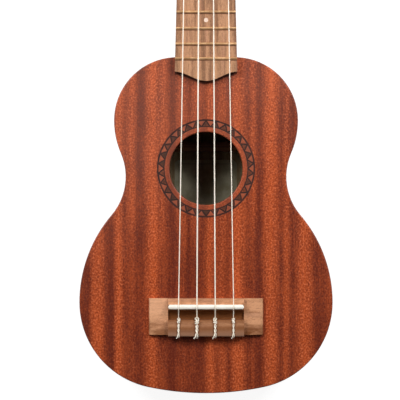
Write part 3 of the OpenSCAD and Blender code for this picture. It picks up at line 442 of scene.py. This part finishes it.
def top_wood():
    """Ribbon mahogany with its rosette, a faint painted sheen and a painted shadow past the
    fretboard's end.
    """
    made, bench, shader = finish("top_mahogany", Specular_IOR_Level=0.25)
    place = bench.place()
    x, y, _ = bench.parts(place)
    wander = bench.noise(place, (0.02, 0.012, 0.0))
    by_neck = figure([(at, width, light) for at, width, light, _ in PALE_RIBBONS])
    by_tail = figure([(at, width, light) for at, width, _, light in PALE_RIBBONS])
    stripe = bench.mix(bench.spread(y, -28, 18), ribbons(bench, x, wander, by_tail),
                       ribbons(bench, x, wander, by_neck))
    wood = bench.effect(
        WOOD, Place=place, Stripe=stripe, Pale=MAHOGANY_PALE, Deep=MAHOGANY_DEEP,
        Pore=MAHOGANY_PORE, Streaks=0.45, Mottle=0.46, Pores=0.4)
    # a painted sheen: the wood is painted paler and greyer towards the shoulders, more on the left
    painted_sheen = bench.spread(bench.maths("MULTIPLY_ADD", x, -0.6, y), -10, 110, 0.0, 0.08)
    lacquer = bench.mix(painted_sheen, flecked(bench, place, stripe, wood), colour(200, 150, 130))
    tint, lines = rosette(bench, place, lacquer)
    # painted shadow: the top is painted near-black just past the fretboard's end
    bench.feed(shader.inputs["Base Color"], bench.mix(
        painted_bell_shadow(bench, x, y), tint, colour(30, 8, 4)))
    bench.feed(shader.inputs["Roughness"], bench.maths(
        "MULTIPLY_ADD", lines, 0.25, wood["Roughness"]))
    relief(bench, shader, bench.maths("MULTIPLY_ADD", lines, -2.5, wood["Height"]),
           0.3, 0.05 * MM)
    return made


def back_wood():
    """The back: plainer mahogany outside, paler and bare inside."""
    made, bench, shader = finish("back_mahogany", Specular_IOR_Level=0.35)
    place = bench.place(centre=(0.31, 0.1, 0.0))
    stripe = bench.spread(bench.noise(place, (0.085, 0.0025, 0.0), 3, 0.6), 0.35, 0.66, 0.0, 0.95)
    wood = bench.effect(
        WOOD, Place=place, Stripe=stripe, Pale=colour(182, 92, 58), Deep=colour(104, 42, 28),
        Pore=MAHOGANY_PORE, Streaks=0.6, Mottle=0.4, Pores=0.5)
    bare = bench.effect(
        WOOD, Place=place, Stripe=stripe, Pale=colour(176, 160, 122),
        Deep=colour(140, 118, 84), Pore=colour(92, 70, 50), Streaks=0.8, Mottle=0.4, Pores=0.5)
    inner_face = in_mm(back_high.z)
    inside = bench.spread(bench.parts(bench.place())[2], inner_face - 0.2, inner_face - 0.05)
    bench.feed(shader.inputs["Base Color"], bench.mix(inside, wood["Color"], bare["Color"]))
    bench.feed(shader.inputs["Roughness"], bench.maths(
        "MULTIPLY_ADD", inside, 0.3, wood["Roughness"]))
    relief(bench, shader, wood["Height"])
    return made


def side_wood():
    """The bent sides: the figure runs round the body, seamed at the tail."""
    made, bench, shader = finish("side_mahogany", Specular_IOR_Level=0.35)
    x, y, z = bench.parts(bench.place())
    mean_radius = 88
    along = bench.maths("MULTIPLY", bench.maths("ARCTAN2", x, y), mean_radius)
    place = bench.joined(z, along, 0.0)
    stripe = bench.spread(bench.noise(place, (0.11, 0.004, 0.0), 3, 0.6), 0.34, 0.66, 0.0, 0.95)
    wood = bench.effect(
        WOOD, Place=place, Stripe=stripe, Pale=colour(180, 90, 56), Deep=colour(104, 42, 28),
        Pore=MAHOGANY_PORE, Streaks=0.6, Mottle=0.4, Pores=0.5)
    # the inner faces look at the middle of the body and are left bare
    facing = bench.vector("DOT_PRODUCT", bench.node("ShaderNodeTexCoord").outputs["Normal"],
                          bench.joined(x, y, 0.0), out=1)
    bare = bench.mix(0.7, wood["Color"], colour(206, 170, 128))
    bench.feed(shader.inputs["Base Color"], bench.mix(
        bench.spread(facing, 1.0, -1.0), wood["Color"], bare))
    bench.feed(shader.inputs["Roughness"], wood["Roughness"])
    relief(bench, shader, wood["Height"])
    return made


def solid_wood(name, pale, deep, pore, centre=(0, 0, 0), turn=(0, 0, 0), across=0.12,
               pores=0.6, gloss=0.35):
    """Straight-grained wood; turn brings the grain onto Y."""
    made, bench, shader = finish(name, Specular_IOR_Level=gloss)
    place = bench.place(centre, turn)
    stripe = bench.spread(bench.noise(place, (across, 0.004, across), 3, 0.6), 0.34, 0.66)
    wood = bench.effect(
        WOOD, Place=place, Stripe=stripe, Pale=colour(*pale), Deep=colour(*deep),
        Pore=colour(*pore), Streaks=0.7, Mottle=0.35, Pores=pores)
    bench.feed(shader.inputs["Base Color"], wood["Color"])
    bench.feed(shader.inputs["Roughness"], wood["Roughness"])
    relief(bench, shader, wood["Height"])
    return made


def hard_finish(name, pale, deep, shine, wear, spots=0.35, **settings):
    """Metal, bone or plastic whose tone and shine drift a little."""
    made, bench, shader = finish(name, **settings)
    place = bench.place(centre=(0.013, 0.027, 0.019))
    tone = bench.noise(place, (spots, spots, spots), 3, 0.6)
    bench.feed(shader.inputs["Base Color"], bench.mix(
        bench.spread(tone, 0.35, 0.65), colour(*deep), colour(*pale)))
    handled = bench.effect(HANDLING, Place=place, Shine=float(shine), Wear=float(wear))
    bench.feed(shader.inputs["Roughness"], handled["Roughness"])
    relief(bench, shader, handled["Height"], 0.12, 0.01 * MM)
    return made


def label_paper():
    """Plain laid paper with a thin ruled border, left blank."""
    made, bench, shader = finish("label_paper", Specular_IOR_Level=0.2)
    middle = (label_low + label_high) / 2
    half = (label_high - label_low) / 2
    place = bench.place(centre=(0, middle.y, 0))
    x, y, _ = bench.parts(place)
    in_x = bench.maths("SUBTRACT", in_mm(half.x), bench.maths("ABSOLUTE", x))
    in_y = bench.maths("SUBTRACT", in_mm(half.y), bench.maths("ABSOLUTE", y))
    border_in = 3.0
    border = bench.spread(bench.maths("ABSOLUTE", bench.maths(
        "SUBTRACT", bench.maths("MINIMUM", in_x, in_y), border_in)), 0.4, 0.1)
    fibres = bench.noise(place, (1.3, 1.3, 1.3), 4, 0.65)
    aged = bench.noise(place, (0.06, 0.06, 0.06), 3, 0.6)
    paper = bench.mix(bench.spread(aged, 0.35, 0.65), colour(158, 150, 122),
                      colour(190, 184, 156))
    paper = bench.mix(bench.spread(fibres, 0.5, 0.75, 0.0, 0.4), paper, colour(132, 120, 92))
    bench.feed(shader.inputs["Base Color"], bench.mix(
        bench.maths("MULTIPLY", border, 0.35), paper, colour(72, 62, 46)))
    bench.feed(shader.inputs["Roughness"], bench.spread(fibres, 0.3, 0.7, 0.75, 0.92))
    relief(bench, shader, fibres, 0.3, 0.03 * MM)
    return made


def walnut(name, turn, centre, pale, deep):
    """Open-grained walnut; returns the material, its bench, its shader and its colour."""
    made, bench, shader = finish(name, Specular_IOR_Level=0.25)
    place = bench.place(centre, turn)
    wide = bench.noise(place, (0.3, 0.012, 0.3), 3, 0.6)
    wood = bench.effect(
        WOOD, Place=place, Stripe=bench.spread(wide, 0.33, 0.64, 0.05, 0.95),
        Pale=colour(*pale), Deep=colour(*deep), Pore=colour(108, 72, 50),
        Streaks=0.9, Mottle=0.6, Pores=0.6)
    rose = bench.noise(place, (0.24, 0.03, 0.24))
    tint = bench.mix(bench.spread(rose, 0.48, 0.7, 0.0, 0.3), wood["Color"],
                     colour(180, 128, 104))
    bench.feed(shader.inputs["Roughness"], bench.maths("ADD", wood["Roughness"], 0.1))
    relief(bench, shader, wood["Height"], 0.3, 0.05 * MM)
    return made, bench, shader, tint


SCALE_LENGTH = 346          # from the nut to the saddle, in millimetres
FRETS_TO_OCTAVE = 12
HALF_NUT = 17.5             # half the fretboard's width at the nut
LAST_SLOT_Y, BARE_END_Y = -176, -168


def board_wood():
    """The fretboard: painted shade along its edges, behind each fret and on its bell-shaped end.
    """
    made, bench, shader, tint = walnut(
        "fretboard_walnut", (0, 0, 0), (0.013, 0.04, 0), (194, 144, 107), (138, 98, 71))
    x, y, _ = bench.parts(bench.place(centre=(0, nut_low.y, 0)))
    # how many frets lie between the nut and here, and how far behind a fret this is
    left = bench.maths("ADD", 1.0, bench.maths("DIVIDE", y, SCALE_LENGTH))
    count = bench.maths("MULTIPLY", bench.maths("LOGARITHM", left, 2.0), -FRETS_TO_OCTAVE)
    past = bench.maths("SUBTRACT", count, bench.maths("ROUND", count))
    past = bench.maths("MULTIPLY", past, bench.maths(
        "MULTIPLY", left, SCALE_LENGTH * math.log(2) / FRETS_TO_OCTAVE))
    # painted shadow: a dark line on the wood just behind each fret, on the tail side
    slot = bench.spread(bench.maths("ABSOLUTE", bench.maths("SUBTRACT", past, 1.1)), 0.6, 0.3)
    slot = bench.maths("MULTIPLY", slot, bench.spread(y, LAST_SLOT_Y - 2, LAST_SLOT_Y))
    half = bench.spread(y, in_mm(board_low.y - nut_low.y), 0.0,
                        in_mm(board_high.x), HALF_NUT, smooth=False)
    # painted shade along the board's edges, fading out towards the body
    edge_shade = bench.spread(bench.maths("SUBTRACT", half, bench.maths("ABSOLUTE", x)), 1.6, 0.3)
    edge_shade = bench.maths("MULTIPLY", edge_shade, bench.spread(y, BARE_END_Y - 6, BARE_END_Y))
    # the painted shadow behind the frets and the painted shade along the edges darken the wood
    dark = bench.maths("MAXIMUM", bench.maths("MULTIPLY", slot, 0.9),
                       bench.maths("MULTIPLY", edge_shade, 0.45))
    tint = bench.mix(dark, tint, colour(70, 36, 16))
    # faces turned to the tail, the bell's end among them, are painted dark: painted shade
    facing = bench.parts(bench.node("ShaderNodeTexCoord").outputs["Normal"])
    bench.feed(shader.inputs["Base Color"], bench.mix(
        bench.spread(facing[1], -0.45, -0.75), tint, colour(34, 16, 9)))
    return made


# Along the bridge's middle, in millimetres from its front edge: where the pale front strip ends,
# the painted shadow in the channel behind the saddle starts and ends, and the tie block is palest
# and browner
STRIP_END, CHANNEL_START, CHANNEL_END, BLOCK_PALEST, BLOCK_BROWN = 5.5, 9, 13.5, 18, 21
BRIDGE_DEPTH = 28
HALF_MIDDLE = 26.7          # half the width of the bridge's raised middle


def bridge_wood():
    """The bridge: pale wings and front and a browner tie block, with painted light and shade on
    the wings, tie block and channel.
    """
    made, bench, shader, tint = walnut(
        "bridge_walnut", (0, 0, QUARTER), (0.021, 0.017, 0.033), (218, 159, 118), (168, 115, 80))
    place = bench.place(centre=(0, bridge_high.y, 0))
    x, y, _ = bench.parts(place)
    down = bench.maths("MULTIPLY", y, -1.0)
    # the channel behind the saddle is painted near-black: painted shadow of the saddle
    middle = ribbon(bench, down, 0, BRIDGE_DEPTH, (
        (STRIP_END, 0.9), (CHANNEL_START, 0.0), (CHANNEL_END, 0.0), (BLOCK_PALEST, 0.5),
        (BLOCK_BROWN, 0.2)))
    # painted shade: the wings darken towards their backs, mottled, and more on the right wing
    smudged_shade = bench.noise(place, (0.12, 0.25, 0.1), 3, 0.6)
    wings = bench.maths("SUBTRACT", 1.0, bench.maths(
        "MULTIPLY", bench.spread(down, 16, 24), bench.spread(smudged_shade, 0.3, 0.6, 0.3, 0.8)))
    wings = bench.maths("SUBTRACT", wings, bench.maths(
        "MULTIPLY", bench.spread(x, 20, 30), bench.spread(down, 16, 22, 0.12, 0.3)))
    inside = bench.spread(bench.maths("ABSOLUTE", x), HALF_MIDDLE + 0.2, HALF_MIDDLE - 0.2)
    light = bench.maths("ADD", bench.maths("MULTIPLY", inside, middle), bench.maths(
        "MULTIPLY", bench.maths("SUBTRACT", 1.0, inside), wings), clamp=True)
    wood = bench.mix(light, colour(118, 68, 32), tint)
    # painted light: the left wing is painted paler in front; painted sheen: the tie block greys
    # towards its back edge
    pale = bench.maths("MULTIPLY", bench.spread(x, -26, -28),
                       bench.spread(down, 18, 5, 0.0, 0.5))
    wood = bench.mix(pale, wood, colour(238, 180, 140))
    # painted sheen: the tie block is painted greyer towards its back edge
    painted_rear_sheen = bench.maths("MULTIPLY", inside, bench.spread(down, 20, 27, 0.0, 0.5))
    bench.feed(shader.inputs["Base Color"], bench.mix(painted_rear_sheen, wood, colour(134, 108, 94)))
    return made


SPRUCE = dict(pale=(222, 190, 146), deep=(196, 158, 112), pore=(150, 112, 74))
finishes = {
    "soundboard_wood": top_wood(),
    "back_wood": back_wood(),
    "side_wood": side_wood(),
    "neck_wood": solid_wood("neck_mahogany", (176, 88, 56), (112, 46, 31), (70, 27, 20),
                            centre=(0.05, 0, 0.02)),
    "lining_wood": solid_wood("lining_spruce", centre=(0, 0, 0.011), turn=(0, QUARTER, 0),
                              **SPRUCE, pores=0.2, gloss=0.2),
    "block_wood": solid_wood("block_wood", (204, 160, 112), (168, 122, 80), (120, 82, 52),
                             turn=(QUARTER, 0, 0), pores=0.4, gloss=0.2),
    "brace_wood": solid_wood("brace_mahogany", (150, 104, 70), (112, 70, 46), (70, 42, 28),
                             turn=(0, 0, QUARTER), pores=0.2, across=0.5, gloss=0.2),
    "board_wood": board_wood(),
    "bridge_wood": bridge_wood(),
    "label_paper": label_paper(),
    "saddle_plastic": hard_finish("bone_white", (255, 250, 238), (250, 243, 228), 0.3, 0.15),
    "dot_plastic": hard_finish("dot_pearl", (238, 214, 196), (226, 198, 180), 0.25, 0.1,
                               spots=0.9),
    "fret_wire": hard_finish("fret_wire", (226, 184, 138), (202, 156, 110), 0.36, 0.2,
                             Metallic=0.85),
    "tuner_metal": hard_finish("nickel_plate", (206, 206, 208), (188, 188, 192), 0.22, 0.2,
                               Metallic=1.0),
    "screw_steel": hard_finish("screw_nickel", (196, 197, 200), (168, 168, 172), 0.3, 0.3,
                               Metallic=1.0, spots=0.8),
    "worm_steel": hard_finish("worm_steel", (186, 187, 190), (150, 150, 154), 0.32, 0.3,
                              Metallic=1.0, spots=0.6),
    "gear_brass": hard_finish("gear_brass", (222, 182, 98), (186, 144, 70), 0.3, 0.3,
                              Metallic=1.0, spots=0.6),
    "button_plastic": hard_finish("button_cream", (242, 236, 218), (224, 216, 196), 0.22,
                                  0.15, spots=0.22),
    "string_nylon": hard_finish("string_nylon", (255, 247, 232), (248, 238, 220), 0.35,
                                0.15, spots=0.3),
}


# ------------------------------------------------------- rounded pieces

def paint(piece, slot, look=None):
    """Gives a new piece its finish: the slot's, or the look's if one is given."""
    piece.data.materials.clear()
    piece.data.materials.append(finishes[look or slot])


top = eased("soundboard", "top_plate", 0.9 * MM, 3, lambda m: m.z > TOP_FACE - 0.05 * MM)
paint(top, "soundboard_wood")
back = eased("back", "back_plate", 1.0 * MM, 3, lambda m: m.z < 0.05 * MM)
paint(back, "back_wood")
bridge = eased("bridge", "tie_bridge", 0.35 * MM, 2, lambda m: m.z > TOP_FACE + 0.1 * MM)
paint(bridge, "board_wood", "bridge_wood")
board = eased("fretboard", "finger_board", 0.3 * MM, 2,
              lambda m: m.z > board_high.z - 0.05 * MM and abs(m.x) > 12 * MM
              or m.y < board_low.y + 8 * MM and m.z > board_low.z + 0.1 * MM)
paint(board, "board_wood")
head = eased("headstock", "head_plate", 0.6 * MM, 2)
paint(head, "neck_wood")
saddle = eased("saddle", "bone_saddle", 0.25 * MM, 2, lambda m: m.z > bridge_high.z)
paint(saddle, "saddle_plastic")
nut = eased("nut", "bone_nut", 0.25 * MM, 2, lambda m: abs(m.x) > 15 * MM)
paint(nut, "saddle_plastic")

for name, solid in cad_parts.items():
    slot = solid.data.materials[0].name.split(".")[0] if solid.data.materials else None
    if slot in finishes and not solid.hide_render:
        for holder in solid.material_slots:
            holder.material = finishes[slot]


# ---------------------------------------------------------------- studio

FLOOR_WIDTH = 30
FLOOR_DROP = 0.4 * MM       # keeps the back off the floor
FLOOR_GREY = (0.3, 0.3, 0.3, 1)
FLOOR_SEEN = 0.9


def studio_floor():
    """A wide floor that the instrument lies on, seen pale whatever light falls on it."""
    set_down()
    bpy.ops.mesh.primitive_plane_add(size=FLOOR_WIDTH, location=(0, 0, -FLOOR_DROP))
    floor = bpy.context.object
    floor.name = "floor"
    made = bpy.data.materials.new("floor_paper")
    made.use_nodes = True
    made.node_tree.nodes.clear()
    bench = Bench(made.node_tree)
    rays = bench.node("ShaderNodeLightPath").outputs
    seen = bench.maths("MAXIMUM", rays["Is Camera Ray"], bench.maths(
        "MAXIMUM", rays["Is Glossy Ray"], rays["Is Transmission Ray"]))
    paper = bench.node("ShaderNodeBsdfDiffuse")
    bench.feed(paper.inputs["Color"], FLOOR_GREY)
    glow = bench.node("ShaderNodeEmission")
    bench.feed(glow.inputs["Strength"], bench.maths("MULTIPLY", seen, FLOOR_SEEN))
    both = bench.node("ShaderNodeAddShader")
    output = bench.node("ShaderNodeOutputMaterial")
    bench.feed(both.inputs[0], paper.outputs[0])
    bench.feed(both.inputs[1], glow.outputs[0])
    bench.feed(output.inputs["Surface"], both.outputs[0])
    floor.data.materials.append(made)


WALLS, CEILING, BELOW = 0.15, 0.03, 0.5     # light that the air casts from each side


def studio_air():
    """White air to look at; it casts dimmer light, and metal mirrors a dark patch overhead."""
    world = bpy.data.worlds.new("studio")
    bpy.context.scene.world = world
    world.use_nodes = True
    world.node_tree.nodes.clear()
    bench = Bench(world.node_tree)
    rays = bench.node("ShaderNodeLightPath").outputs
    mirrored = bench.maths("MAXIMUM", rays["Is Glossy Ray"], rays["Is Transmission Ray"])
    seen = bench.maths("MAXIMUM", rays["Is Camera Ray"], mirrored)
    way = bench.parts(bench.node("ShaderNodeTexCoord").outputs["Generated"])
    lit = bench.maths("MAXIMUM", bench.spread(way[2], 0.2, 0.6, WALLS, CEILING),
                      bench.spread(way[2], -0.02, -0.2, 0.0, BELOW))
    overhead = bench.maths("ADD", bench.maths("MULTIPLY", way[2], 0.88),
                           bench.maths("MULTIPLY", way[1], -0.47))
    shown = bench.maths("MAXIMUM", rays["Is Camera Ray"],
                        bench.spread(overhead, 0.6, 0.92, 1.0, 0.0))
    glow = bench.node("ShaderNodeBackground")
    bench.feed(glow.inputs["Color"], (1, 1, 1, 1))
    bench.feed(glow.inputs["Strength"], bench.maths(
        "ADD", bench.maths("MULTIPLY", seen, shown),
        bench.maths("MULTIPLY", bench.maths("SUBTRACT", 1.0, seen), lit)))
    output = bench.node("ShaderNodeOutputWorld")
    bench.feed(output.inputs["Surface"], glow.outputs[0])


def softbox(name, at, width, height, watts, aim):
    """An upright area lamp facing a point."""
    lamp = bpy.data.lights.new(name, "AREA")
    lamp.shape = "RECTANGLE"
    lamp.size = width
    lamp.size_y = height
    lamp.energy = watts
    holder = bpy.data.objects.new(name, lamp)
    bpy.context.scene.collection.objects.link(holder)
    holder.location = at
    holder.rotation_euler = (aim - at).to_track_quat("-Z", "Y").to_euler()


# each lamp's turn from the neck's direction and its height, in degrees, its size and power
LAMPS = {"softbox": (49, 45, 0.25, 0.45, 6.5), "fill": (80, 52, 0.3, 0.3, 0.8)}

studio_floor()
studio_air()
lit_spot = Vector((0, 20 * MM, TOP_FACE))
for side, hand in ((-1, "left"), (1, "right")):
    for name, (around, above, width, height, watts) in LAMPS.items():
        around, above = math.radians(around), math.radians(above)
        way = Vector((side * math.sin(around) * math.cos(above),
                      math.cos(around) * math.cos(above), math.sin(above)))
        softbox(f"{hand}_{name}", lit_spot + way, width, height, watts, lit_spot)

CAMERA_HEIGHT = 1.2
SEEN_WIDTH = 282.4 * MM
view_centre = Vector((-4.25 * MM, 17.5 * MM, TOP_FACE))
camera = bpy.data.objects.new("camera", bpy.data.cameras.new("camera"))
bpy.context.scene.collection.objects.link(camera)
camera.location = view_centre + Vector((0, 0, CAMERA_HEIGHT))
camera.data.sensor_width = 36
camera.data.lens = camera.data.sensor_width * CAMERA_HEIGHT / SEEN_WIDTH
camera.data.clip_end = 50
bpy.context.scene.camera = camera
bpy.context.scene.view_settings.view_transform = "Standard"
